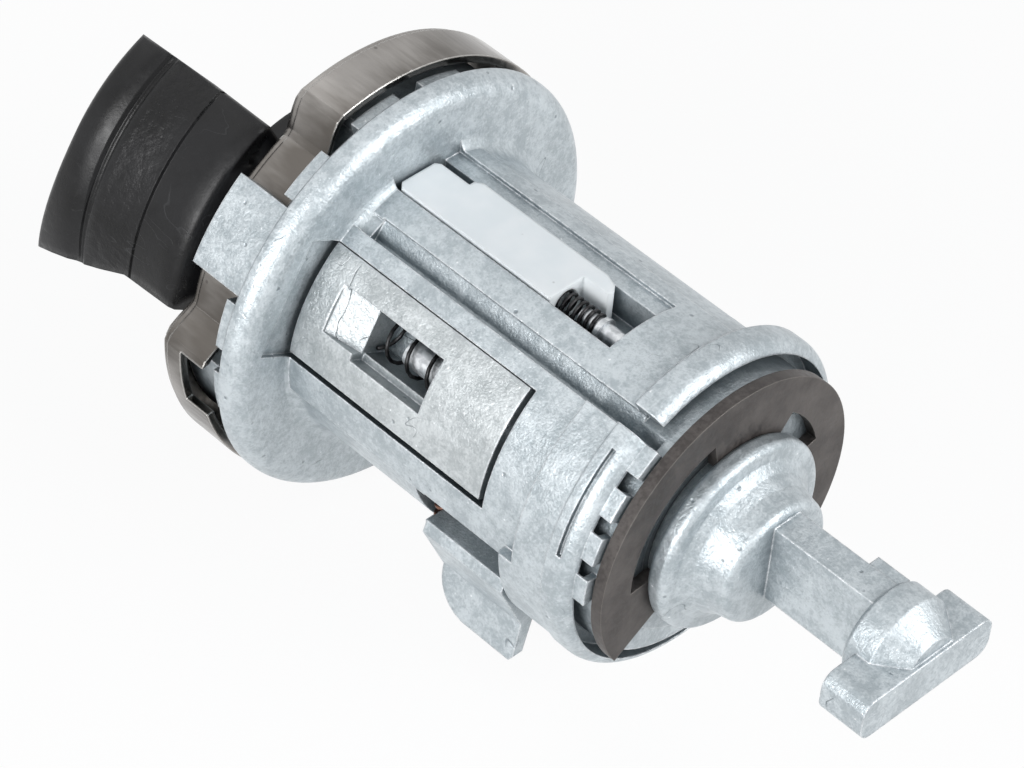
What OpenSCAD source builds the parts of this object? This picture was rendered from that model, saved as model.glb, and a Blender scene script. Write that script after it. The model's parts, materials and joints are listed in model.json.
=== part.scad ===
// Ignition lock cylinder, in millimetres.
// X runs along the lock axis, from the key end to the drive end.
// Z points up through the window of the interlock slider.
// The origin lies on the lock axis, in the rear face of the flange.
// Angles named _phi are turned about X, from +Z towards -Y.

/* [Housing] */
// Thickness of the barrel's wall round the plug
barrel_wall = 5.95; // [5.35:0.05:6.95]
// Length of the barrel between the flange and the end collar
barrel_len = 28.2; // [27.8:0.1:32]
// Radius of the end collar that fits the column
collar_r = 17.1; // [16.8:0.1:19]
// Height of the collar's fitted rim above its side
rim_h = 0.2; // [0.2:0.05:0.5]
// Length of the end collar
collar_len = 8.6; // [7.8:0.1:11]
// Length of the clip seat that stands behind the end collar
seat_len = 1.4; // [1.2:0.1:2.5]
// Radius of the flange
flange_r = 22; // [21.6:0.1:24]
// Thickness of the flange
flange_t = 2.6; // [2:0.1:3.2]
// Rounding of the flange edge
flange_round = 1.9; // [1.4:0.1:2]
// Length of the boss in front of the flange
boss_len = 6.7; // [6:0.1:8]
// Gap between the boss and the wall of the shield
boss_gap = 1.7; // [1.2:0.1:2.4]
// Height of the raised rail round the side block
rail_h = 0.8; // [0.4:0.1:1.2]

/* [Front shield] */
// Thickness of the shield sheet
sheet_t = 0.8; // [0.6:0.1:1]
// Distance that the shield stands proud of the flange
shield_proud = 0.1; // [0:0.1:0.4]
// Length of the shield skirt
skirt_len = 5.7; // [5:0.1:6.2]
// Depth of the flute that clears the housing tongue
flute_depth = 3.3; // [3:0.1:3.6]

/* [Knob] */
// Largest radius of the knob wings
wing_r = 21.2; // [20:0.1:22]
// Length of the wings along the lock axis
wing_len = 16.3; // [15:0.1:18]
// Radius of the key space between the wings
key_space_r = 10.6; // [10.2:0.1:11]
// Depth of the key space in front of the hub
key_space_len = 10.6; // [9:0.1:11]
// Gap between the knob and the shield
knob_gap = 0.8; // [0.5:0.1:1.2]

/* [Plug] */
// Radius of the plug
plug_r = 9; // [8.9:0.05:9.2]
// Running clearance round the plug
plug_fit = 0.05; // [0.03:0.01:0.09]
// Radius of the plug nose inside the knob
nose_r = 8; // [7.8:0.1:8.2]
// Radius of the plug shoulder behind the shield
shoulder_r = 10.4; // [10:0.1:10.8]
// Width of the keyway
keyway_w = 2.4; // [2:0.1:2.8]
// Height of the keyway
keyway_h = 8.4; // [8:0.1:9]
// Distance between neighbouring wafers
wafer_pitch = 3.4; // [3.2:0.1:3.6]
// Thickness of a wafer
wafer_t = 1.3; // [1:0.1:1.5]
// Width of a wafer
wafer_w = 7.4; // [7:0.1:7.6]
// Height of a wafer
wafer_h = 13.4; // [13:0.1:13.8]
// Travel of a wafer when the key lifts it
wafer_travel = 1.2; // [0.8:0.1:1.4]

/* [Drive shaft] */
// Radius of the disc that traps the retaining clip
disc_r = 9.85; // [9.4:0.05:10.4]
// Thickness of the disc
disc_t = 2; // [1.6:0.1:2.6]
// Radius of the hub behind the disc
hub_r = 6.4; // [6:0.1:7]
// Length of the hub
hub_len = 4.2; // [3.6:0.1:5]
// Length of the shaft and tee behind the hub
stem_len = 17.5; // [15:0.1:22]
// Thickness of the flat shaft
stem_t = 3.2; // [2.8:0.1:3.6]
// Height of the flat shaft
stem_h = 8.5; // [7.6:0.1:9]
// Length of the tee bar
tee_len = 16.4; // [14:0.1:20]
// Height of the tee bar
tee_h = 4.4; // [3.8:0.1:5]
// Thickness of the tee bar along the lock axis
tee_t = 4.8; // [4:0.1:5.4]

/* [Retaining clip] */
// Outer radius of the clip
clip_r = 15.3; // [14.8:0.1:16]
// Thickness of the clip
clip_t = 1.2; // [1:0.1:1.4]
// Radius of the neck that the clip snaps round
neck_r = 8.3; // [8:0.1:8.5]

/* [Interlock slider] */
// Width of the slider
slider_w = 6; // [5.6:0.1:6.4]
// Length of the slider
slider_len = 22.2; // [20:0.1:22.6]
// Length of the notch in the slider for its spring
slider_notch = 2.95; // [2.5:0.05:3.4]
// Length of the slider window in the barrel
window_len = 27.2; // [26.8:0.1:27.4]
// Depth of the window below the barrel's surface
window_depth = 4; // [3.4:0.1:4.3]
// Travel of the slider
slider_travel = 2.5; // [1:0.1:3]

/* [Side block] */
// Angle of the block round the barrel
block_phi = 62; // [60:0.5:64]
// Width of the block
block_w = 11.4; // [11:0.1:12]
// Length of the block
block_len = 24.3; // [23.4:0.1:24.6]
// Depth of the block's pocket below the barrel's surface
block_depth = 4.8; // [4.4:0.1:5]
// Gap round the block
block_gap = 0.6; // [0.4:0.05:0.7]
// Travel of the plunger inside the block
plunger_travel = 1.8; // [1:0.1:2.4]

/* [Retaining tab] */
// Length of the tab along the lock axis
tab_len = 10; // [8:0.1:10.4]
// Largest thickness of the tab
tab_t = 5; // [4.6:0.1:5.2]
// Distance that the tab reaches below the lock axis
tab_reach = 17.8; // [17:0.1:19]
// Travel of the tab when it is pressed in
tab_travel = 3; // [2:0.1:3.4]

/* [Hidden] */

$fn = 96;
eps = 0.01;
far = 60;
slip = 0.1;

// Planes along the lock axis
collar_x = barrel_len;
collar_end_x = collar_x + collar_len;
seat_x = collar_end_x + seat_len;
flange_x = -flange_t;
boss_x = flange_x - boss_len;
shield_x = boss_x - 0.1 - sheet_t;
knob_x = shield_x - knob_gap;
wing_x = knob_x - wing_len;
hub_face_x = wing_x + key_space_len;
clip_x = seat_x;
disc_x = clip_x + clip_t + 0.06;
hub_x = disc_x + disc_t;
stem_x = hub_x + hub_len;
tee_end_x = stem_x + stem_len;

// Housing
shield_r = flange_r + shield_proud;
boss_r = shield_r - sheet_t - boss_gap;
bore_r = plug_r + plug_fit;
barrel_r = bore_r + barrel_wall;
tongue_phi = [41, 65.5];
tongue_r = [shield_r - flute_depth + 0.15, flange_r - 0.4];
flute_phi = [16, 90];
core_r = shield_r - flute_depth - sheet_t - 0.15;
tongue_len = 6.1;
cove_r = 1.6;
rim_x = collar_x + 5.4;
side_r = collar_r - rim_h;
lug_phi = [-62, -38, -14, 8, 32, 76, 98, 120, 144, 168, 200, 232, 262];
lug_w = 14;
lug_r = shield_r - sheet_t - 0.4;
rail_phi = [33.5, 100];
land_phi = [-26, 26];
land_h = 0.35;
valley_phi = 29.4;
valley_w = 2.1;
valley_floor = barrel_r - 0.9;
rear_round = 1.7;
recess_r = [barrel_r - 0.3, barrel_r + 0.9];
recess_depth = 2.4;
seat_r = barrel_r - 0.3;
tooth_phi = [38, 54, 70, 86];
tooth_w = 10;

// Slider
window_floor = barrel_r - window_depth;
slider_y = -0.6;
slider_gap = 0.25;
slider_x = 0.35;
slider_top = barrel_r + 0.1;
slider_spring_y = slider_y - 0.85;
slider_spring_z = barrel_r - 1.8;
slider_spring_x = slider_x + slider_len - slider_notch;
slider_pin_r = 0.95;
slider_pin_x = slider_spring_x + 2.2;
slider_spring_r = 1.32;
slider_spring_len = 5.2;
slider_coil_x = slider_spring_x - 0.8;

// Side block
block_floor = barrel_r - block_depth;
block_x = 0.1;
pocket_x = block_x - block_gap;
pocket_len = block_len + 2 * block_gap;
block_top = barrel_r + rail_h;
block_win_x = block_x + 6.8;
block_win_len = 8.8;
block_ramp_x = block_x + 3;
block_ramp_z = barrel_r - 0.7;
block_win_y = [-1.7, 3.2];
block_ledge = 0.7;
block_axis = barrel_r - 2.3;
block_bore_y = 0.7;
plunger_r = 1.3;
plunger_from = 10.6;
head_from = 17.5;
plunger_x = block_x + plunger_from;
head_x = block_x + head_from;
head_t = 1.2;
block_spring_r = 2;

// Retaining tab
tab_gap = 0.15;
tab_x = collar_x - tab_len - tab_gap;
tab_y = 4.4 - barrel_r;
tab_top = -6;
tab_ear = [2.3, 0.9];
tab_ear_z = -10.2;
tab_spring_r = 0.95;
tab_spring_len = 4.8;
tab_spring_y = tab_y - 1.15;

// Swing of the plug to each side of rest
turn = [30, 80];

// Key direction and wafers
key_phi = -33;
wing_phi = key_phi + 90;
wafer_x0 = 1.6;
wafer_n = 6;
wafer_gap = 0.1;
wafer_ear = 1.7;
wafer_spring_y = wafer_w / 2 + 0.95;
wafer_spring_r = 0.55;
wafer_wire = 0.22;
wafer_top = sqrt(pow(plug_r - 0.1, 2) - pow(wafer_w / 2, 2));
wafer_ear_z = -1.7;
wafer_spring_len = 4.2;
bar_h = 2;
bar_tip = wafer_w / 2 + 0.2;
bar_len = 27;
bar_x = -2.4;
bar_end = 3;
bar_end_r = plug_r - 2.4;
bar_travel = 0.6;
bar_spring_r = 0.7;
bar_spring_len = plug_r - bar_end_r - 0.25;
tang_len = 4;
tang_w = 3.6;
tang_h = 11;
neck_gap = 0.08;

// Points of an arc round a centre, in degrees
function arc(c, r, a, b, n) =
    [for (i = [0 : n]) let (t = a + (b - a) * i / n) [c[0] + r * cos(t), c[1] + r * sin(t)]];

// Smooth step from 0 to 1
function ease(t) = let (s = min(1, max(0, t))) s * s * (3 - 2 * s);

// An outline in Y and Z, extruded along the lock axis
module along_x(x0, x1) {
    translate([x0, 0, 0])
        rotate([90, 0, 90])
            linear_extrude(x1 - x0)
                children();
}

// A profile in radius and X, turned from angle a to angle b
module turned(a = 0, b = 360) {
    rotate([a + 180, 0, 0])
        rotate([0, 90, 0])
            rotate_extrude(angle = b - a)
                children();
}

// A ring between two radii and two planes
module band(r0, r1, x0, x1, a = 0, b = 360) {
    turned(a, b)
        polygon([[r0, x0], [r1, x0], [r1, x1], [r0, x1]]);
}

// A rod along the lock axis
module rod_x(r, x0, x1) {
    translate([x0, 0, 0])
        rotate([0, 90, 0])
            cylinder(h = x1 - x0, r = r);
}

// A box given by its lowest and highest corners
module span(lo, hi) {
    translate(lo)
        cube(hi - lo);
}

// A coil spring along Z, swept as one ring of points after another
module coil(r, wire, turns, h, sides = 8, steps = 12) {
    n = round(turns * steps);
    ring = [for (i = [0 : n]) for (j = [0 : sides - 1])
        let (t = 360 * turns * i / n, a = 360 * j / sides, q = r + wire * cos(a))
        [q * cos(t), q * sin(t), wire + (h - 2 * wire) * i / n + wire * sin(a)]];
    sides_f = [for (i = [0 : n - 1]) for (j = [0 : sides - 1])
        let (k = (j + 1) % sides)
        [i * sides + j, i * sides + k, (i + 1) * sides + k, (i + 1) * sides + j]];
    cap_a = [[for (j = [sides - 1 : -1 : 0]) j]];
    cap_b = [[for (j = [0 : sides - 1]) n * sides + j]];
    polyhedron(ring, concat(sides_f, cap_a, cap_b));
}

// Outside of the casting, before anything is cut
module casting() {
    difference() {
        turned()
            polygon(concat(
                [[0, boss_x], [boss_r, boss_x], [boss_r, flange_x], [flange_r - 0.3, flange_x],
                 [flange_r, flange_x + 0.3]],
                arc([flange_r - flange_round, -flange_round], flange_round, 0, 90, 8),
                arc([barrel_r + cove_r, cove_r], cove_r, -90, -180, 6),
                [[barrel_r, collar_x],
                 [side_r - 0.25, collar_x], [side_r, collar_x + 0.25],
                 [side_r, rim_x + 0.05], [collar_r, rim_x + 0.25]],
                arc([collar_r - rear_round, collar_end_x - rear_round], rear_round, 0, 80, 8),
                [[seat_r, collar_end_x], [seat_r, seat_x], [0, seat_x]]));
        band(core_r, flange_r + 1, boss_x - 1, flange_x, flute_phi[0] - 4, flute_phi[1] + 4);
        band(barrel_r + 0.02, collar_r + 1, collar_x - 0.5, rim_x, -100, rail_phi[0]);
    }
    for (phi = lug_phi)
        band(core_r - 1, lug_r, shield_x + skirt_len + 0.3, flange_x + eps,
            phi - lug_w / 2, phi + lug_w / 2);
    band(tongue_r[0], tongue_r[1], flange_x - tongue_len, -flange_round, tongue_phi[0], tongue_phi[1]);
    band(barrel_r - 1, barrel_r + rail_h, -eps, collar_x + 2, rail_phi[0], rail_phi[1]);
    band(barrel_r - 1, barrel_r + land_h, -eps, rim_x + eps, land_phi[0], land_phi[1]);
    for (phi = tooth_phi)
        band(seat_r - 1, recess_r[1] + 0.2, collar_end_x - recess_depth, seat_x - 0.2,
            phi - tooth_w / 2, phi + tooth_w / 2);
}

// Stepped window in the top of the barrel
module slider_window() {
    y0 = slider_y - slider_w / 2 - slider_gap;
    y1 = slider_y + slider_w / 2 + slider_gap;
    span([0, y0, window_floor], [window_len, y1, far]);
    span([0, y1 - eps, barrel_r - 0.75], [window_len, y1 + 1.8, far]);
}

// Pocket in the rail that holds the side block
module block_pocket() {
    rotate([block_phi, 0, 0])
        span([pocket_x, -block_w / 2 - block_gap, block_floor],
            [pocket_x + pocket_len, block_w / 2 + 0.12, block_top + 2.5]);
}

// Slot in the side of the barrel for the retaining tab and its spring
module tab_slot() {
    roof = tab_ear_z + tab_ear[1] + tab_spring_len + 0.2;
    span([tab_x - tab_gap, -far, -far],
        [tab_x + tab_len + tab_gap, tab_y + tab_gap, tab_top + tab_travel + 0.4]);
    span([tab_x - tab_ear[0] - 0.2, -far, tab_ear_z - 0.1], [tab_x, tab_y + tab_gap, roof]);
}

module housing() {
    color([0.74, 0.77, 0.79])
    difference() {
        casting();
        rod_x(bore_r, boss_x - 1, seat_x + 1);
        rod_x(shoulder_r + 0.2, boss_x - 1, boss_x + 0.95);
        turned()
            polygon([[recess_r[0], collar_end_x - recess_depth], [recess_r[1], collar_end_x - recess_depth],
                [recess_r[1], collar_end_x + 0.5], [recess_r[0], collar_end_x + 0.5]]);
        band(barrel_r + rail_h, far, collar_x - 1, collar_x + 1.8, rail_phi[0] - 1, rail_phi[1] - 7);
        band(collar_r - 0.5, far, collar_x + 6.6, collar_x + 7.1, rail_phi[0] + 6.5, rail_phi[0] + 43.5);
        rotate([valley_phi, 0, 0])
            along_x(cove_r + 0.3, collar_end_x + 0.3)
                polygon([[-valley_w / 2, valley_floor], [0.4 - valley_w / 2, valley_floor],
                    [valley_w / 2, barrel_r], [valley_w / 2 + 0.4, far], [-valley_w / 2, far]]);
        slider_window();
        block_pocket();
        tab_slot();
        side_bar_groove();
        band(seat_r - 3, far, collar_end_x + 0.3, seat_x + 1, 128, 242);
    }
}

// Groove in the bore that the side bar springs into, as wide as the swing of the plug
module side_bar_groove() {
    phi = 90 + key_phi;
    band(bore_r - 0.5, bore_r + bar_travel + 0.1, bar_x + bar_end - 0.3, bar_x + bar_len - bar_end + 0.3,
        phi - turn[0] - 8, phi + turn[1] + 8);
}

// Outline of the shield, a circle with one smooth flute
function flute(phi) =
    flute_depth * ease((phi - flute_phi[0]) / 10) * ease((flute_phi[1] - phi) / 9);
function shield_outline(inset) =
    [for (i = [0 : 2 : 358]) let (q = shield_r - inset - flute(i))
        [-q * sin(i), q * cos(i)]];

module front_shield() {
    color([0.55, 0.52, 0.49])
    difference() {
        union() {
            along_x(shield_x + 1, shield_x + skirt_len)
                polygon(shield_outline(0));
            along_x(shield_x + 0.4, shield_x + 1.1)
                polygon(shield_outline(0.25));
            along_x(shield_x, shield_x + 0.5)
                polygon(shield_outline(0.8));
        }
        along_x(shield_x + sheet_t, shield_x + skirt_len + 1)
            polygon(shield_outline(sheet_t));
        rod_x(nose_r + 0.6, shield_x - 1, shield_x + 3);
        rotate([98, 0, 0])
            span([shield_x + 2.8, -3.2, shield_r - 3], [flange_x + 1, 3.2, far]);
    }
}

// Profile of a knob wing, radius against X
function wing_profile() = concat(
    [[key_space_r - 1.2, wing_x], [wing_r - 1.1, wing_x]],
    arc([wing_r - 1.1, wing_x + 1], 1, -80, -10, 5),
    [[wing_r - 0.02, wing_x + 2.2], [wing_r - 0.25, wing_x + 3.6], [wing_r - 0.8, wing_x + 4.1],
     [wing_r - 0.85, wing_x + 4.7], [wing_r - 0.5, wing_x + 5.2], [wing_r - 0.75, wing_x + 5.9]],
    [for (i = [1 : 6]) [wing_r - 0.75 - 0.5 * ease(i / 6), wing_x + 5.9 + 4.4 * i / 6]],
    [[wing_r - 1.15, knob_x - 0.5], [wing_r - 1.5, knob_x], [key_space_r - 1.2, knob_x]]);

// Plan of a wing seen along its own middle, X against width
function wing_plan() = let (x1 = knob_x, x0 = wing_x)
    [[x0 - 1, 10.4], [x1 - 7.3, 9.7], [x1 + 1, 9.6], [x1 + 1, -9.5], [x1 - 6.6, -9.9], [x0 - 1, -14.1]];

module wing() {
    rotate([wing_phi, 0, 0])
    intersection() {
        turned(-60, 60)
            polygon(wing_profile());
        linear_extrude(far)
            polygon(wing_plan());
        along_x(wing_x - 1, knob_x + 1)
            polygon([[-3.4, 0], [0.2, 0], [17.2, 30], [-23.5, 30]]);
    }
}

module knob() {
    color([0.09, 0.09, 0.1])
    difference() {
        union() {
            wing();
            rotate([2 * wing_phi, 0, 0])
                mirror([0, 0, 1])
                    wing();
            rod_x(key_space_r + 0.2, hub_face_x, knob_x);
        }
        rod_x(key_space_r, wing_x - 1, hub_face_x);
        rod_x(nose_r + 0.03, hub_face_x - 1, knob_x + 1);
        rotate([36, 0, 0])
            translate([knob_x - 2.2, 0, wing_r - 3.5])
                rotate([0, 90, 0])
                    cylinder(h = 5, r = 0.75);
        rotate([key_phi + 180, 0, 0])
            translate([knob_x - 2.6, 0, 3])
                cylinder(h = 12, r = 0.8 + 0.02);
    }
}

module knob_pin() {
    color([0.6, 0.6, 0.62])
    rotate([key_phi + 180, 0, 0])
        translate([knob_x - 2.6, 0, nose_r - 2])
            cylinder(h = key_space_r - nose_r + 2, r = 0.8);
}

// Place of wafer number i along the lock axis
function wafer_x(i) = wafer_x0 + wafer_pitch * i;

module plug() {
    color([0.72, 0.66, 0.5])
    difference() {
        union() {
            rod_x(nose_r, hub_face_x - 0.4, boss_x + 0.1);
            rod_x(shoulder_r, boss_x + 0.05, boss_x + 0.9);
            rod_x(plug_r, boss_x + 0.05, seat_x - 0.1);
        }
        rotate([key_phi, 0, 0]) {
            span([hub_face_x - 1, -keyway_w / 2, -keyway_h / 2],
                [wafer_x(wafer_n), keyway_w / 2, keyway_h / 2]);
            for (i = [0 : wafer_n - 1])
                wafer_slot(wafer_x(i));
            span([bar_x - slip, -far, -bar_h / 2 - slip],
                [bar_x + bar_len + slip, -wafer_w / 2, bar_h / 2 + slip]);
        }
        rotate([key_phi + 180, 0, 0])
            translate([knob_x - 2.6, 0, nose_r - 2])
                cylinder(h = 5, r = 0.8 + 0.02);
        span([seat_x - 0.1 - tang_len, -tang_w / 2 - 0.05, -tang_h / 2 - 0.05],
            [seat_x + 1, tang_w / 2 + 0.05, tang_h / 2 + 0.05]);
    }
}

// Slot for one wafer, its ear and its spring
module wafer_slot(x) {
    t = wafer_t / 2 + wafer_gap;
    w = wafer_w / 2 + wafer_gap;
    ear_z = wafer_ear_z - wafer_travel - 0.3;
    span([x - t, -w, wafer_top - wafer_h - wafer_travel - 0.2], [x + t, w, far]);
    span([x - t, w - eps, ear_z], [x + t, w + wafer_ear, far]);
    translate([x, wafer_spring_y, wafer_ear_z - wafer_spring_len - 0.15])
        cylinder(h = wafer_spring_len, r = wafer_spring_r + 0.1);
}

// Wafer number i, with its cut-out at one of four heights
module wafer(i) {
    x = wafer_x(i);
    t = wafer_t / 2;
    lift = 0.3 * ((i * 5) % 4);
    color([0.8, 0.68, 0.38])
    rotate([key_phi, 0, 0])
        along_x(x - t, x + t)
            difference() {
                union() {
                    translate([-wafer_w / 2, wafer_top - wafer_h])
                        square([wafer_w, wafer_h]);
                    translate([0, wafer_ear_z])
                        square([wafer_w / 2 + wafer_ear - 0.15, 1.7]);
                }
                translate([-keyway_w / 2 - 0.15, -keyway_h / 2 - 0.2 + lift])
                    square([keyway_w + 0.3, keyway_h + 0.4]);
                polygon([[-wafer_w, 0.9], [-wafer_w / 2, 0.9], [0.6 - wafer_w / 2, 0],
                    [-wafer_w / 2, -0.9], [-wafer_w, -0.9]]);
            }
}

module wafer_spring(i) {
    color([0.5, 0.5, 0.52])
    rotate([key_phi, 0, 0])
        translate([wafer_x(i), wafer_spring_y, wafer_ear_z - wafer_spring_len - 0.05])
            coil(wafer_spring_r - wafer_wire / 2, wafer_wire / 2, 6, wafer_spring_len, 6, 8);
}

// The side bar: a bevelled bar whose thin ends carry the two springs
module side_bar() {
    b = bar_h / 2;
    x1 = bar_x + bar_len;
    color([0.66, 0.6, 0.45])
    rotate([key_phi, 0, 0])
    difference() {
        intersection() {
            along_x(bar_x, x1)
                polygon([[-plug_r, b - 0.6], [0.6 - plug_r, b], [-bar_tip - 0.9, b], [-bar_tip, 0.3],
                    [-bar_tip, -0.3], [-bar_tip - 0.9, -b], [0.6 - plug_r, -b], [-plug_r, 0.6 - b]]);
            rod_x(plug_r - 0.02, bar_x - 1, x1 + 1);
        }
        for (x = [bar_x - 1, x1 - bar_end])
            span([x, -far, -far], [x + bar_end + 1, -bar_end_r, far]);
    }
}

module side_bar_spring(x) {
    color([0.5, 0.5, 0.52])
    rotate([key_phi, 0, 0])
        translate([x, 0.15 - plug_r + bar_spring_len, 0])
            rotate([90, 0, 0])
                coil(bar_spring_r - 0.12, 0.12, 4, bar_spring_len, 6, 8);
}

module drive_shaft() {
    stem_y = 0.5;
    stem_z = 0.9;
    tee_x = tee_end_x - tee_t;
    color([0.76, 0.79, 0.81])
    union() {
        span([seat_x - tang_len, -tang_w / 2, -tang_h / 2 + 0.1], [seat_x, tang_w / 2, tang_h / 2 - 0.1]);
        turned()
            polygon(concat(
                [[0, seat_x - 0.05], [neck_r, seat_x - 0.05], [neck_r, disc_x], [disc_r - 0.25, disc_x]],
                arc([disc_r - 0.5, disc_x + 0.5], 0.5, -30, 0, 3),
                arc([disc_r - 0.8, hub_x - 0.8], 0.8, 0, 70, 6),
                [[hub_r + 1.9, hub_x + 0.1], [hub_r + 0.9, hub_x + 0.8], [hub_r + 0.3, hub_x + 2]],
                arc([hub_r - 0.9, stem_x - 0.9], 0.9, 0, 80, 5),
                [[0, stem_x]]));
        span([stem_x - 1, stem_y - stem_t / 2, stem_z - stem_h / 2],
            [tee_x + 1, stem_y + stem_t / 2, stem_z + stem_h / 2]);
        along_x(tee_x, tee_end_x)
            polygon(tee_outline());
        translate([0, stem_y + 0.2, stem_z - 0.2])
            turned()
                polygon([[0, tee_x - 1.4], [4.7, tee_x - 1.4], [5.1, tee_x - 1], [5.1, tee_x + 1.6],
                    [3, tee_end_x - 0.4], [0, tee_end_x - 0.4]]);
        span([tee_x - 4.7, stem_y + stem_t / 2 - eps, stem_z - 0.6],
            [tee_x - 1.1, stem_y + stem_t / 2 + 1.3, stem_z + stem_h / 2 - 0.1]);
    }
}

// Tee bar seen along the lock axis, with rounded ends
function tee_outline() = let (y = tee_len / 2, z = tee_h / 2, r = 1.4) concat(
    arc([y - r, z - r], r, 0, 90, 5), arc([r - y, z - r], r, 90, 180, 5),
    arc([r - y, r - z], r, 180, 270, 5), arc([y - r, r - z], r, 270, 360, 5));

module retaining_clip() {
    color([0.28, 0.27, 0.27])
    along_x(clip_x, clip_x + clip_t)
        difference() {
            circle(r = clip_r);
            circle(r = neck_r + neck_gap);
            clip_gap(124, 238);
            clip_relief(14, 94);
            clip_relief(-73, -38);
        }
}

// Mouth of the clip, from one arm to the other
module clip_gap(a, b) {
    polygon(concat([[0, 0]],
        [for (i = [0 : 8]) let (t = a + (b - a) * i / 8) [-far * sin(t), far * cos(t)]]));
}

// Relief between two prongs of the clip
module clip_relief(a, b) {
    r0 = neck_r - 0.5;
    r1 = 11.7;
    polygon(concat(
        [for (i = [0 : 12]) let (t = a + (b - a) * i / 12) [-r1 * sin(t), r1 * cos(t)]],
        [for (i = [0 : 12]) let (t = b + (a - b) * i / 12) [-r0 * sin(t), r0 * cos(t)]]));
}

module interlock_slider() {
    x0 = slider_x;
    x1 = slider_x + slider_len;
    y0 = slider_y - slider_w / 2;
    y1 = slider_y + slider_w / 2;
    color([0.9, 0.92, 0.92])
    difference() {
        translate([0, 0, window_floor + 0.1])
            linear_extrude(slider_top - window_floor - 0.1)
                polygon([[x0, y0 + 0.5], [x0, y1 - 1.5], [x0 + 0.5, y1 - 1.1], [x0 + 4.1, y1 - 1.1],
                    [x0 + 4.1, y1 - 0.5], [x0 + 4.8, y1], [x1 - 1.8, y1], [x1 - 0.4, y1 - 0.5],
                    [x1, y1 - 1], [x1, y1 - 1.8], [slider_spring_x, y1 - 1.8],
                    [slider_spring_x, y0], [x0 + 0.5, y0]]);
        translate([0, slider_spring_y, slider_spring_z])
            rod_x(slider_spring_r + 0.1, slider_coil_x - 0.1, slider_spring_x + 1);
    }
}

module slider_spring() {
    color([0.1, 0.1, 0.11])
    translate([slider_coil_x, slider_spring_y, slider_spring_z])
        rotate([0, 90, 0])
            coil(slider_spring_r - 0.17, 0.17, 7, slider_spring_len, 8, 12);
}

module slider_pin() {
    color([0.75, 0.76, 0.78])
    translate([slider_pin_x, slider_spring_y, slider_spring_z])
        rotate([0, 90, 0])
            union() {
                cylinder(h = window_len - slider_pin_x - 0.02, r = slider_pin_r);
                translate([0, 0, slider_coil_x + slider_spring_len - slider_pin_x + 0.05])
                    cylinder(h = 0.5, r = slider_spring_r);
            }
}

// The side block, modelled on top and turned to its place
module side_block() {
    w = block_w / 2;
    color([0.7, 0.73, 0.74])
    rotate([block_phi, 0, 0])
    difference() {
        intersection() {
            span([block_x, -w, block_floor + 0.05], [block_x + block_len, w, far]);
            rod_x(block_top, block_x - 1, block_x + block_len + 1);
        }
        translate([0, block_win_y[1], 0])
        rotate([90, 0, 0])
            linear_extrude(block_win_y[1] - block_win_y[0])
                polygon([[block_ramp_x, far], [block_ramp_x, block_top - 0.4], [block_win_x, block_ramp_z],
                    [block_win_x, block_floor - 1], [block_win_x + block_win_len, block_floor - 1],
                    [block_win_x + block_win_len, far]]);
        translate([0, block_bore_y, block_axis]) {
            rod_x(block_spring_r + 0.15, block_win_x + 1, head_x + head_t + 0.1);
            rod_x(plunger_r + 0.1, block_win_x + 1, block_x + block_len + 1);
        }
        span([block_win_x, block_win_y[0] - block_ledge, block_top - 1.9],
            [block_win_x + block_win_len, 0, far]);
    }
}

module block_spring() {
    color([0.08, 0.08, 0.09])
    rotate([block_phi, 0, 0])
        translate([block_win_x + 0.05, block_bore_y, block_axis])
            rotate([-90, 0, 0])
                rotate([0, 90, 0])
                    coil(block_spring_r - 0.2, 0.2, 4, head_x - block_win_x - 0.1, 8, 14);
}

module block_plunger() {
    color([0.6, 0.66, 0.72])
    rotate([block_phi, 0, 0])
        translate([0, block_bore_y, block_axis])
            union() {
                rod_x(plunger_r, plunger_x, block_x + block_len + 0.4);
                rod_x(block_spring_r, head_x, head_x + head_t);
            }
}

module retaining_tab() {
    x1 = tab_x + tab_len;
    z0 = -tab_reach;
    color([0.73, 0.76, 0.77])
    union() {
        intersection() {
            along_x(tab_x, x1)
                polygon([[tab_y, tab_top], [tab_y - tab_t + 0.4, tab_top], [tab_y - tab_t, tab_top - 1.2],
                    [tab_y - 1.9, z0 + 4.4], [tab_y - 2.7, z0], [tab_y - 1.5, z0], [tab_y, z0 + 6]]);
            rotate([90, 0, 0])
                linear_extrude(far)
                    polygon(concat([[tab_x, 0], [tab_x, 4 + z0]],
                        arc([tab_x + 4, 4 + z0], 4, 180, 262, 6),
                        [[x1 - 0.4, z0], [x1, 0.6 + z0], [x1, 0]]));
        }
        span([tab_x - tab_ear[0], tab_spring_y - 1.1, tab_ear_z],
            [tab_x + 1, tab_y, tab_ear_z + tab_ear[1]]);
    }
}

module tab_spring() {
    color([0.35, 0.2, 0.15])
    translate([tab_x - tab_ear[0] / 2 - 0.05, tab_spring_y, tab_ear_z + tab_ear[1] + 0.05])
        coil(tab_spring_r - 0.2, 0.2, 4, tab_spring_len, 8, 12);
}

housing();
front_shield();
knob();
knob_pin();
plug();
drive_shaft();
retaining_clip();
interlock_slider();
slider_spring();
slider_pin();
side_block();
block_spring();
block_plunger();
retaining_tab();
tab_spring();
wafer(0);  // wafer_1
wafer(1);  // wafer_2
wafer(2);  // wafer_3
wafer(3);  // wafer_4
wafer(4);  // wafer_5
wafer(5);  // wafer_6
wafer_spring(0);  // wafer_spring_1
wafer_spring(1);  // wafer_spring_2
wafer_spring(2);  // wafer_spring_3
wafer_spring(3);  // wafer_spring_4
wafer_spring(4);  // wafer_spring_5
wafer_spring(5);  // wafer_spring_6
side_bar();
side_bar_spring(bar_x + bar_end / 2);  // side_bar_spring_1
side_bar_spring(bar_x + bar_len - bar_end / 2);  // side_bar_spring_2
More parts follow.
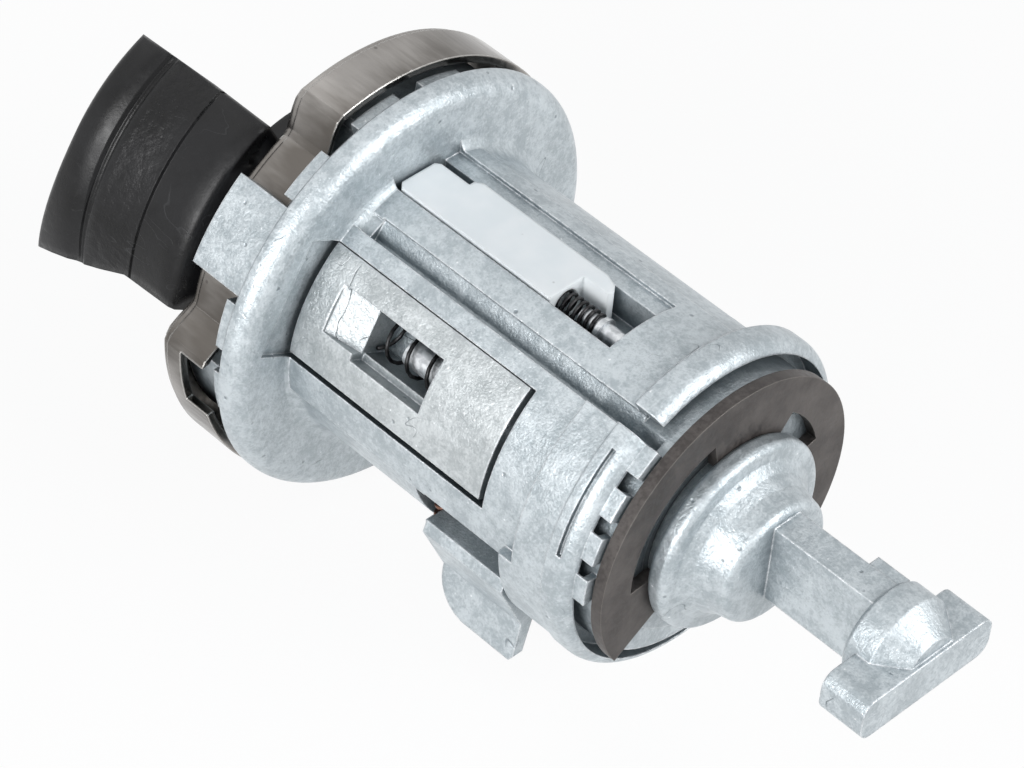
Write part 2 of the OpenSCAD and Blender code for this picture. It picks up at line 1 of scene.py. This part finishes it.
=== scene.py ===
# %% [markdown]
# # An ignition lock cylinder, dressed for a photograph
#
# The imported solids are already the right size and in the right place. This lesson gives them the
# look of the real thing: die-cast zinc, a black moulded knob, a stamped steel shield, a white
# nylon slider and dark spring steel. Everything stays in the frame of the solids, in metres.

# %% Load the solids
import json
import math

import bmesh
import bpy
from mathutils import Matrix, Vector

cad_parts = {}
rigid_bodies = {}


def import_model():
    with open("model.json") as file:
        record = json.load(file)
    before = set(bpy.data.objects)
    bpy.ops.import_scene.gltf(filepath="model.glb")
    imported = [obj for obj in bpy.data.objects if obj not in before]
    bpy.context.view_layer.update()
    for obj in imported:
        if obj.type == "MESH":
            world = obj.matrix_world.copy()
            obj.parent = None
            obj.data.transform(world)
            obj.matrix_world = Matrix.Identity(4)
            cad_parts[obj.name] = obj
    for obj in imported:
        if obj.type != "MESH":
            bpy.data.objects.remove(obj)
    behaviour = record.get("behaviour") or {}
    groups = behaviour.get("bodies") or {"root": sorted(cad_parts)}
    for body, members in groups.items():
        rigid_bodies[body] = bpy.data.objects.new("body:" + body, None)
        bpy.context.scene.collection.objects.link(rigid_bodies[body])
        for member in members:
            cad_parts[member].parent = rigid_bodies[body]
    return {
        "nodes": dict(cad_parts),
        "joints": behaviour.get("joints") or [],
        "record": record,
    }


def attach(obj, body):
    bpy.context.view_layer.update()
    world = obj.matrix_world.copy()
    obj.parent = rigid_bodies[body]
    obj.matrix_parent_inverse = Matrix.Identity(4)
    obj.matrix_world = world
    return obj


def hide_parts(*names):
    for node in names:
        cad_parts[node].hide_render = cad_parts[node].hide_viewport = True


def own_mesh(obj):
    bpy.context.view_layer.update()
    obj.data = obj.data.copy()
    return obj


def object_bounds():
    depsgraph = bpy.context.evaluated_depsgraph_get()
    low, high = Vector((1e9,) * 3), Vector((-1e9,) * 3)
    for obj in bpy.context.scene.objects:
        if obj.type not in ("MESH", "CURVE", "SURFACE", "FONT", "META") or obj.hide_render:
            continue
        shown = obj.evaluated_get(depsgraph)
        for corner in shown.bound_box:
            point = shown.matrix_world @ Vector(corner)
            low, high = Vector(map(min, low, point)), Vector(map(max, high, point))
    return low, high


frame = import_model()
solid_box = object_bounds()
MM = 0.001
slot_of = {part["node"]: part["material_slot"] for part in frame["record"]["subparts"]}

# %% [markdown]
# ## The camera
#
# The photograph was taken from above and in front of the drive end, with a long lens and the
# camera tilted a few degrees. Turning right and up by the roll angle about the line of sight is
# simpler to read than a list of Euler angles, so the camera's matrix is built from its three axes.

# %% Set the camera
AZIMUTH = math.radians(41.83)
ELEVATION = math.radians(43.845)
ROLL = math.radians(5.608)
DISTANCE = 384.634 * MM
LOOK_AT = Vector((20 * MM, 0, 0))
SLIDE = Vector((-5.059 * MM, 1.969 * MM))
IMAGE_WIDTH = 1024
FOCAL_PIXELS = 4300
SENSOR = 36

back = Vector((
    math.sin(AZIMUTH) * math.cos(ELEVATION),
    -math.cos(AZIMUTH) * math.cos(ELEVATION),
    math.sin(ELEVATION),
))
level_right = Vector((math.cos(AZIMUTH), math.sin(AZIMUTH), 0))
level_up = back.cross(level_right)
right = math.cos(ROLL) * level_right + math.sin(ROLL) * level_up
up = math.cos(ROLL) * level_up - math.sin(ROLL) * level_right

camera_data = bpy.data.cameras.new("camera")
camera_data.sensor_width = SENSOR
camera_data.lens = FOCAL_PIXELS * SENSOR / IMAGE_WIDTH
camera_data.clip_start = 0.01
camera_data.clip_end = 20
camera = bpy.data.objects.new("camera", camera_data)
bpy.context.scene.collection.objects.link(camera)
place = LOOK_AT + back * DISTANCE + right * SLIDE.x + up * SLIDE.y
camera.matrix_world = Matrix.Translation(place) @ Matrix((right, up, back)).transposed().to_4x4()
bpy.context.scene.camera = camera
bpy.context.scene.view_settings.view_transform = "Standard"
print("lens:", round(camera_data.lens, 1), "mm")

# %% [markdown]
# ## Floor, background and lamps
#
# The background is plain white. The floor gives off white only towards the camera and towards
# mirrors, so it looks white without lighting the part, and the rest of it is a plain pale floor
# that keeps a soft shadow. The lamps are large and near, as in a light tent.

# %% Make the floor and the world
FLOOR_Z = solid_box[0].z - 0.1 * MM
FLOOR_SIZE = 6


def shape_object(name, bm):
    """A new object from a bmesh, at the origin."""
    mesh = bpy.data.meshes.new(name)
    bm.to_mesh(mesh)
    bm.free()
    made = bpy.data.objects.new(name, mesh)
    bpy.context.scene.collection.objects.link(made)
    return made


floor_bm = bmesh.new()
bmesh.ops.create_grid(floor_bm, x_segments=1, y_segments=1, size=FLOOR_SIZE)
bmesh.ops.translate(floor_bm, verts=floor_bm.verts, vec=(0, 0, FLOOR_Z))
floor = shape_object("floor", floor_bm)
print("floor at", round(FLOOR_Z / MM, 2), "mm")

# %% [markdown]
# ## A short way to write materials
#
# Node graphs get long when each Math node is wired by hand. A small class holds one socket and
# gives it Python's operators, so that a mask is written as a formula. A second class holds the
# material, adds any other node, and joins the results to the surface shader.


# %% Sockets as numbers
class Value:
    """A socket of a material that can be used in a formula."""

    def __init__(self, paint, socket):
        self.paint = paint
        self.socket = socket

    def _math(self, operation, first, second):
        return self.paint.node("ShaderNodeMath", {"operation": operation}, {0: first, 1: second})

    def __add__(self, other):
        return self._math("ADD", self, other)

    __radd__ = __add__

    def __mul__(self, other):
        return self._math("MULTIPLY", self, other)

    __rmul__ = __mul__

    def __sub__(self, other):
        return self._math("SUBTRACT", self, other)

    def __rsub__(self, other):
        return self._math("SUBTRACT", other, self)

    def __pow__(self, other):
        return self._math("POWER", self, other)


class Paint:
    """A material, its surface shader, and the ways to add to them."""

    def __init__(self, name, owner=None):
        self.material = owner or bpy.data.materials.new(name)
        self.material.use_nodes = True
        self.tree = self.material.node_tree
        self.tree.nodes.clear()
        kind = "ShaderNodeOutputMaterial" if owner is None else "ShaderNodeOutputWorld"
        self.output = self.tree.nodes.new(kind)
        self.where = None

    def node(self, kind, settings=None, inputs=None, output=0):
        """Adds a node, with its settings first and then its sockets, and returns one output."""
        made = self.tree.nodes.new(kind)
        for key, setting in (settings or {}).items():
            if key == "stops":
                self._stops(made.color_ramp, setting)
            else:
                setattr(made, key, setting)
        for key, value in (inputs or {}).items():
            if isinstance(value, Value):
                self.tree.links.new(value.socket, made.inputs[key])
            elif isinstance(value, tuple) and len(value) == 3 and made.inputs[key].type == "RGBA":
                made.inputs[key].default_value = (*value, 1)
            else:
                made.inputs[key].default_value = value
        return Value(self, made.outputs[output])

    def _stops(self, ramp, stops):
        while len(ramp.elements) < len(stops):
            ramp.elements.new(0.5)
        for element, (position, colour) in zip(ramp.elements, stops):
            element.position = position
            element.color = (*colour, 1) if isinstance(colour, tuple) else (colour, colour, colour, 1)

    def place(self, scale=(1, 1, 1)):
        """Object coordinates, stretched by scale."""
        if self.where is None:
            self.where = self.node("ShaderNodeTexCoord", output="Object")
        if scale == (1, 1, 1):
            return self.where
        return self.node("ShaderNodeMapping", {}, {"Vector": self.where, "Scale": scale})

    def noise(self, scale, detail=3, roughness=0.5, stretch=(1, 1, 1), distortion=0):
        return self.node("ShaderNodeTexNoise", {}, {
            "Vector": self.place(stretch), "Scale": scale, "Detail": detail,
            "Roughness": roughness, "Distortion": distortion,
        }, "Fac")

    def cells(self, scale, stretch=(1, 1, 1)):
        return self.node("ShaderNodeTexVoronoi", {}, {
            "Vector": self.place(stretch), "Scale": scale,
        }, "Distance")

    def steps(self, value, low, high, start=0, end=1):
        """Rises from start to end as value goes from low to high."""
        return self.node("ShaderNodeMapRange", {"interpolation_type": "SMOOTHSTEP"}, {
            "Value": value, "From Min": low, "From Max": high, "To Min": start, "To Max": end,
        })

    def blend(self, factor, first, second):
        """A colour between two others."""
        return self.node("ShaderNodeMix", {"data_type": "RGBA"}, {0: factor, 6: first, 7: second}, 2)

    def bump(self, height, distance, strength=1.0, under=None):
        inputs = {"Height": height, "Distance": distance, "Strength": strength}
        if under is not None:
            inputs["Normal"] = under
        return self.node("ShaderNodeBump", {}, inputs)

    def creases(self, reach):
        """1 in the open, falling towards 0 deep in a corner."""
        return self.node("ShaderNodeAmbientOcclusion", {"samples": 6}, {"Distance": reach}, "AO")

    def rounded(self, radius):
        """The normal with every edge rounded, and how near an edge is, from 0 to 1."""
        soft = self.node("ShaderNodeBevel", {"samples": 6}, {"Radius": radius})
        true = self.node("ShaderNodeNewGeometry", output="True Normal")
        turn = self.node("ShaderNodeVectorMath", {"operation": "DOT_PRODUCT"}, {0: soft, 1: true}, "Value")
        return soft, self.steps(turn, 0.8, 0.985, 1, 0)

    def lines(self, scale, width, patch, low, high, stretch=(1, 1, 1)):
        """Thin wandering lines, kept only where a second noise is high."""
        wander = self.noise(scale, 3, 0.55, stretch, 0.6) - 0.5
        line = self.steps(self.node("ShaderNodeMath", {"operation": "ABSOLUTE"}, {0: wander}), 0, width, 1, 0)
        return line * self.steps(self.noise(patch, 2, 0.5), low, high)

    def finish(self, shader):
        """Joins a shader to the output."""
        self.tree.links.new(shader.socket, self.output.inputs["Surface"])
        return self.material

    def surface(self, **inputs):
        """Ends the material with a Principled shader."""
        names = {key.replace("_", " ").title().replace("Ior", "IOR"): value for key, value in inputs.items()}
        return self.finish(self.node("ShaderNodeBsdfPrincipled", {}, names))


print("material classes ready")

# %% Floor and world materials
WHITE = (1, 1, 1, 1)
SHADOW_SHARE = 0.07
ROOM_LIGHT = 0.3


def seen_white(paint, camera_share=1.0):
    """The share of white that a background gives to the camera and to mirrors and glass."""
    path = paint.node("ShaderNodeLightPath", output="Is Camera Ray") * camera_share
    for mirror in ("Is Glossy Ray", "Is Transmission Ray"):
        path = path + paint.node("ShaderNodeLightPath", output=mirror)
    return path


floor_paint = Paint("floor_white")
matt = floor_paint.node("ShaderNodeBsdfDiffuse", {}, {"Color": (0.86, 0.86, 0.86, 1)})
glow = floor_paint.node("ShaderNodeEmission", {}, {"Color": WHITE, "Strength": 1.0})
floor_paint.finish(floor_paint.node(
    "ShaderNodeMixShader", {}, {0: seen_white(floor_paint, 1 - SHADOW_SHARE), 1: matt, 2: glow}))
floor.data.materials.append(floor_paint.material)

world = bpy.data.worlds.new("white_room")
bpy.context.scene.world = world
world.use_nodes = True
room = Paint("room", world)
air = room.node("ShaderNodeBackground", {}, {"Color": (0.86, 0.93, 1, 1), "Strength": ROOM_LIGHT})
wall = room.node("ShaderNodeBackground", {}, {"Color": WHITE, "Strength": 1.0})
room.finish(room.node("ShaderNodeMixShader", {}, {0: seen_white(room), 1: air, 2: wall}))
print("floor and world painted")

# %% Lamps
CENTRE = (solid_box[0] + solid_box[1]) / 2


def softbox(name, direction, distance, width, height, watts, colour=(1, 1, 1)):
    """A square lamp that faces the middle of the part."""
    lamp = bpy.data.lights.new(name, "AREA")
    lamp.shape = "RECTANGLE"
    lamp.size = width
    lamp.size_y = height
    lamp.energy = watts
    lamp.color = colour
    made = bpy.data.objects.new(name, lamp)
    bpy.context.scene.collection.objects.link(made)
    towards = Vector(direction).normalized()
    made.location = CENTRE + towards * distance
    made.rotation_euler = towards.to_track_quat("Z", "Y").to_euler()
    return made


softbox("front_box", back - 0.55 * right - 0.35 * up, 0.55, 0.3, 0.3, 1.3)
softbox("right_box", back + 1.5 * right + 0.1 * up, 0.5, 0.3, 0.35, 1.75)
softbox("low_box", (0.1, -1, 0.42), 0.5, 0.35, 0.2, 0.95)
softbox("top_box", up + 0.5 * back - 0.5 * right, 0.5, 0.4, 0.3, 0.15)
print("lamps:", len(bpy.data.lights))

# %% [markdown]
# ## Pieces that stand in for solids
#
# The solids stay as they are. Where a piece needs another shape, a copy with its doubled points
# merged takes the node's place, on the same body and with the same finish.

# %% Copies of nodes
MERGE = 0.002 * MM
dressed = {}


def node_copy(name):
    """A bmesh of a node, with its doubled points merged."""
    bm = bmesh.new()
    bm.from_mesh(frame["nodes"][name].data)
    bmesh.ops.remove_doubles(bm, verts=bm.verts, dist=MERGE)
    return bm


def stand_in(node, label, bm, body, sharp):
    """Shows a bmesh in a node's place, smooth but for edges that turn more than sharp degrees."""
    bmesh.ops.recalc_face_normals(bm, faces=bm.faces)
    made = shape_object(label, bm)
    for face in made.data.polygons:
        face.use_smooth = True
    made.data.set_sharp_from_angle(angle=math.radians(sharp))
    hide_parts(node)
    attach(made, body)
    dressed[node] = made
    return made


print("merge distance:", MERGE / MM, "mm")

# %% [markdown]
# ## The coil springs
#
# Each coil spring that a joint lists as deforming is shown as a copy with its doubled points merged,
# on the joint's parent body, with a mesh of its own.

# %% Copy the springs
for joint in frame["joints"]:
    for entry in joint.get("deforming_nodes", []):
        spring_bm = node_copy(entry["node"])
        spring = stand_in(entry["node"], entry["node"] + "_coil", spring_bm, joint["parent"], 60)
        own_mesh(spring)

# %% [markdown]
# ## The knob's ears
#
# The front of each ear sweeps forward at its wide end and is a little narrower at the other. The
# points are moved in the ear's own frame: x along the lock, y across the ear and z away from the
# axis. The second ear mirrors the first.

# %% Sweep the ears
EAR_ANGLE = math.radians(57)
EAR_FRONT = -27.3 * MM
EAR_REACH = 7 * MM
EAR_SWEEP = 2.1 * MM
EAR_TRIM = 0.05
EAR_LOW = 8 * MM


def ease(t):
    t = min(1, max(0, t))
    return t * t * (3 - 2 * t)


def swept(point):
    """A point of an ear, given in the ear's own frame, after the sweep."""
    front = ease((EAR_FRONT + EAR_REACH - point.x) / EAR_REACH)
    wide = max(0, -point.y / (14 * MM)) ** 2
    trim = EAR_TRIM * front * max(0, point.y)
    return Vector((point.x - EAR_SWEEP * front * wide, point.y - trim, point.z))


upright = Matrix.Rotation(-EAR_ANGLE, 4, "X")
flip = Matrix.Diagonal((1, 1, -1, 1))
far_ear = upright @ flip @ Matrix.Rotation(-2 * EAR_ANGLE, 4, "X")
knob_bm = node_copy("knob")
for vert in knob_bm.verts:
    for to_ear in (upright, far_ear):
        local = to_ear @ vert.co
        if local.z > EAR_LOW:
            vert.co = to_ear.inverted() @ swept(local)
knob_visual = stand_in("knob", "knob_swept", knob_bm, "plug_body", 28)
print("knob points:", len(knob_visual.data.vertices))

# %% [markdown]
# ## Die-cast zinc
#
# The castings are pale bluish grey, neither bright nor dull. Cast zinc has a thin skin with a
# grainy, blotchy sheen and fine dark specks. Painted into the colour are bright edges, partly
# rubbed metal and partly painted highlight, painted glints, and painted shade in the corners.

# %% Zinc
# ZINC_DARK colours the pits and seams, and is also the painted shade in the corners.
ZINC_DARK = (0.11, 0.14, 0.16)
ZINC_MID = (0.37, 0.415, 0.44)
ZINC_PALE = (0.56, 0.605, 0.63)
ZINC_RUB_AND_HIGHLIGHT = (0.86, 0.88, 0.9)


def zinc(name, mid=ZINC_MID, pale=ZINC_PALE, dark=ZINC_DARK, corner_shade_share=0.75):
    p = Paint(name)
    blotch = p.noise(300, 3, 0.6)
    mottle = p.noise(1300, 4, 0.7)
    grain = p.noise(4200, 2, 0.6)
    soft, edge = p.rounded(0.28 * MM)
    skin = p.blend(p.steps(blotch * 0.35 + mottle * 0.4 + grain * 0.25, 0.4, 0.6), mid, pale)
    pits = p.steps(p.cells(480), 0.05, 0.13, 1, 0) * p.steps(blotch, 0.5, 0.56)
    seams = p.lines(60, 0.0025, 100, 0.56, 0.64)
    # Painted glints: small bright specks in the colour that stand in for highlights.
    glints = p.steps(p.cells(900), 0.05, 0.14, 1, 0) * p.steps(mottle, 0.54, 0.6)
    marked = p.blend(pits * 0.6 + seams * 0.7, skin, dark)
    # Painted shade: the colour darkens towards the dark grey deep in corners and creases, where shade falls.
    corner = p.steps(p.creases(3 * MM), 0.15, 0.95, corner_shade_share, 0)
    corner_shaded = p.blend(corner, marked, dark)
    # The edges lighten towards the pale colour: partly rubbed metal, partly a painted highlight.
    worn = edge * p.steps(mottle, 0.4, 0.55, 0.35, 0.9)
    colour = p.blend(worn + glints * 0.8, corner_shaded, ZINC_RUB_AND_HIGHLIGHT)
    rough = p.steps(blotch * 0.6 + grain * 0.4, 0.35, 0.65, 0.3, 0.48)
    lumps = p.bump(p.noise(450, 4, 0.65), 0.16 * MM, 0.6, soft)
    fine = p.bump(mottle * 0.65 + grain * 0.35 - (pits + seams) * 0.6, 0.15 * MM, 0.85, lumps)
    return p.surface(base_color=colour, metallic=0.55, roughness=rough, normal=fine)


zinc_main = zinc("zinc_main")
zinc_block = zinc("zinc_block", mid=(0.4, 0.43, 0.44), pale=(0.57, 0.6, 0.61))
zinc_plug = zinc("zinc_plug", mid=(0.39, 0.4, 0.39), pale=(0.54, 0.55, 0.54))
print("zinc finishes ready")

# %% [markdown]
# ## The other finishes
#
# Each is the same idea with other numbers: a base colour, a little variation, and a bump that is
# in scale with the real surface. The knob, shield and clip also have painted highlights on their
# edges, and the shield's broad bands are painted reflections.


# %% Knob plastic, shield steel, nylon and wire
RIDGE_X = -22.6 * MM
WAIST_X = -16.8 * MM


def knob_plastic():
    p = Paint("knob_plastic")
    leather = p.noise(1100, 3, 0.6)
    worn = p.noise(120, 3, 0.6)
    along = p.node("ShaderNodeSeparateXYZ", {}, {"Vector": p.place()}, "X")
    waist = p.steps(along, WAIST_X - 0.35 * MM, WAIST_X + 0.1 * MM)
    grained = p.steps(along, RIDGE_X - 0.3 * MM, RIDGE_X + 0.3 * MM) * (1 - waist)
    ridge = p.steps(along, RIDGE_X - 0.9 * MM, RIDGE_X - 0.5 * MM) * p.steps(
        along, RIDGE_X - 0.5 * MM, RIDGE_X, 1, 0)
    soft, edge = p.rounded(0.6 * MM)
    scratch = p.lines(140, 0.004, 200, 0.48, 0.6, stretch=(0.4, 1, 1))
    colour = p.blend(p.steps(worn, 0.4, 0.65), (0.0035, 0.0035, 0.004), (0.007, 0.007, 0.008))
    # The scratches are real marks; the lighter edges are a painted highlight.
    marked = p.blend(scratch * 0.5 + edge * 0.35, colour, (0.035, 0.036, 0.038))
    rough = p.steps(worn * 0.5 + leather * 0.5, 0.38, 0.62, 0.26, 0.42)
    form = p.bump(ridge * 0.5 - waist, 0.7 * MM, 0.9, soft)
    ripple = p.bump(leather * (grained + 0.3), 0.12 * MM, 0.8, form)
    fine = p.bump(p.noise(4200, 2, 0.5) - scratch, 0.02 * MM, 0.6, ripple)
    return p.surface(base_color=marked, roughness=rough, specular_ior_level=0.32, normal=fine)


def shield_steel():
    p = Paint("shield_steel")
    sweep = p.noise(75, 2, 0.5)
    brush = p.noise(1400, 2, 0.6, stretch=(0.2, 1, 0.5))
    soft, edge = p.rounded(0.3 * MM)
    # Painted reflection: the broad dark and light bands in the colour stand in for reflections in the steel;
    # the fine brush lines are real.
    tone = p.blend(p.steps(sweep * 0.85 + brush * 0.15, 0.38, 0.62), (0.12, 0.11, 0.1), (0.34, 0.325, 0.31))
    spots = p.steps(p.cells(420), 0.04, 0.1, 0.5, 0)
    colour = p.blend(spots, tone, (0.06, 0.055, 0.05))
    # Painted highlight: the edges lighten.
    bright = p.blend(edge * 0.7, colour, (0.75, 0.74, 0.72))
    rough = p.steps(brush, 0.35, 0.65, 0.17, 0.27)
    return p.surface(base_color=bright, metallic=1.0, roughness=rough,
                     normal=p.bump(brush, 0.02 * MM, 0.4, p.bump(sweep, 0.5 * MM, 0.5, soft)))


def clip_steel():
    p = Paint("clip_steel")
    patch = p.noise(260, 4, 0.6)
    speck = p.noise(2400, 2, 0.6)
    soft, edge = p.rounded(0.2 * MM)
    tone = p.blend(p.steps(patch * 0.6 + speck * 0.4, 0.38, 0.62), (0.042, 0.036, 0.034), (0.09, 0.08, 0.075))
    # Painted highlight: the edges lighten.
    colour = p.blend(edge * 0.5, tone, (0.26, 0.24, 0.22))
    return p.surface(base_color=colour, metallic=0.35, roughness=p.steps(speck, 0.3, 0.7, 0.42, 0.6),
                     normal=p.bump(speck, 0.03 * MM, 0.5, soft))


def white_nylon():
    p = Paint("white_nylon")
    cloud = p.noise(200, 3, 0.5)
    soft, edge = p.rounded(0.3 * MM)
    tone = p.blend(p.steps(cloud, 0.35, 0.7), (0.8, 0.845, 0.865), (0.86, 0.89, 0.905))
    marks = p.steps(p.cells(300), 0.02, 0.06, 0.5, 0)
    colour = p.blend(marks, tone, (0.35, 0.36, 0.36))
    return p.surface(base_color=colour, roughness=p.steps(cloud, 0.3, 0.7, 0.38, 0.5), subsurface_weight=0.25,
                     subsurface_radius=(1, 1, 1), subsurface_scale=1.5 * MM,
                     normal=p.bump(p.noise(900, 2, 0.5), 0.02 * MM, 0.4, soft))


def wire(name, dark, light, metallic=0.8):
    p = Paint(name)
    drawn = p.noise(1600, 2, 0.5)
    colour = p.blend(p.steps(drawn, 0.35, 0.65), dark, light)
    return p.surface(base_color=colour, metallic=metallic, roughness=p.steps(drawn, 0.3, 0.7, 0.28, 0.42))


FINISHES = {
    "cast_zinc": zinc_main,
    "block_zinc": zinc_block,
    "plug_zinc": zinc_plug,
    "knob_plastic": knob_plastic(),
    "shield_steel": shield_steel(),
    "clip_steel": clip_steel(),
    "white_nylon": white_nylon(),
    "black_wire": wire("black_wire", (0.012, 0.012, 0.013), (0.05, 0.05, 0.052)),
    "brown_wire": wire("brown_wire", (0.08, 0.035, 0.025), (0.2, 0.1, 0.07)),
    "bright_wire": wire("bright_wire", (0.5, 0.5, 0.5), (0.66, 0.66, 0.66)),
    "pin_steel": wire("pin_steel", (0.45, 0.47, 0.49), (0.72, 0.74, 0.76)),
    "wafer_brass": wire("wafer_brass", (0.6, 0.45, 0.2), (0.75, 0.6, 0.32)),
}
for name, solid in frame["nodes"].items():
    for index in range(len(solid.material_slots)):
        solid.material_slots[index].material = FINISHES[slot_of[name]]
for name, piece in dressed.items():
    piece.data.materials.append(FINISHES[slot_of[name]])
print("finishes:", len(FINISHES))
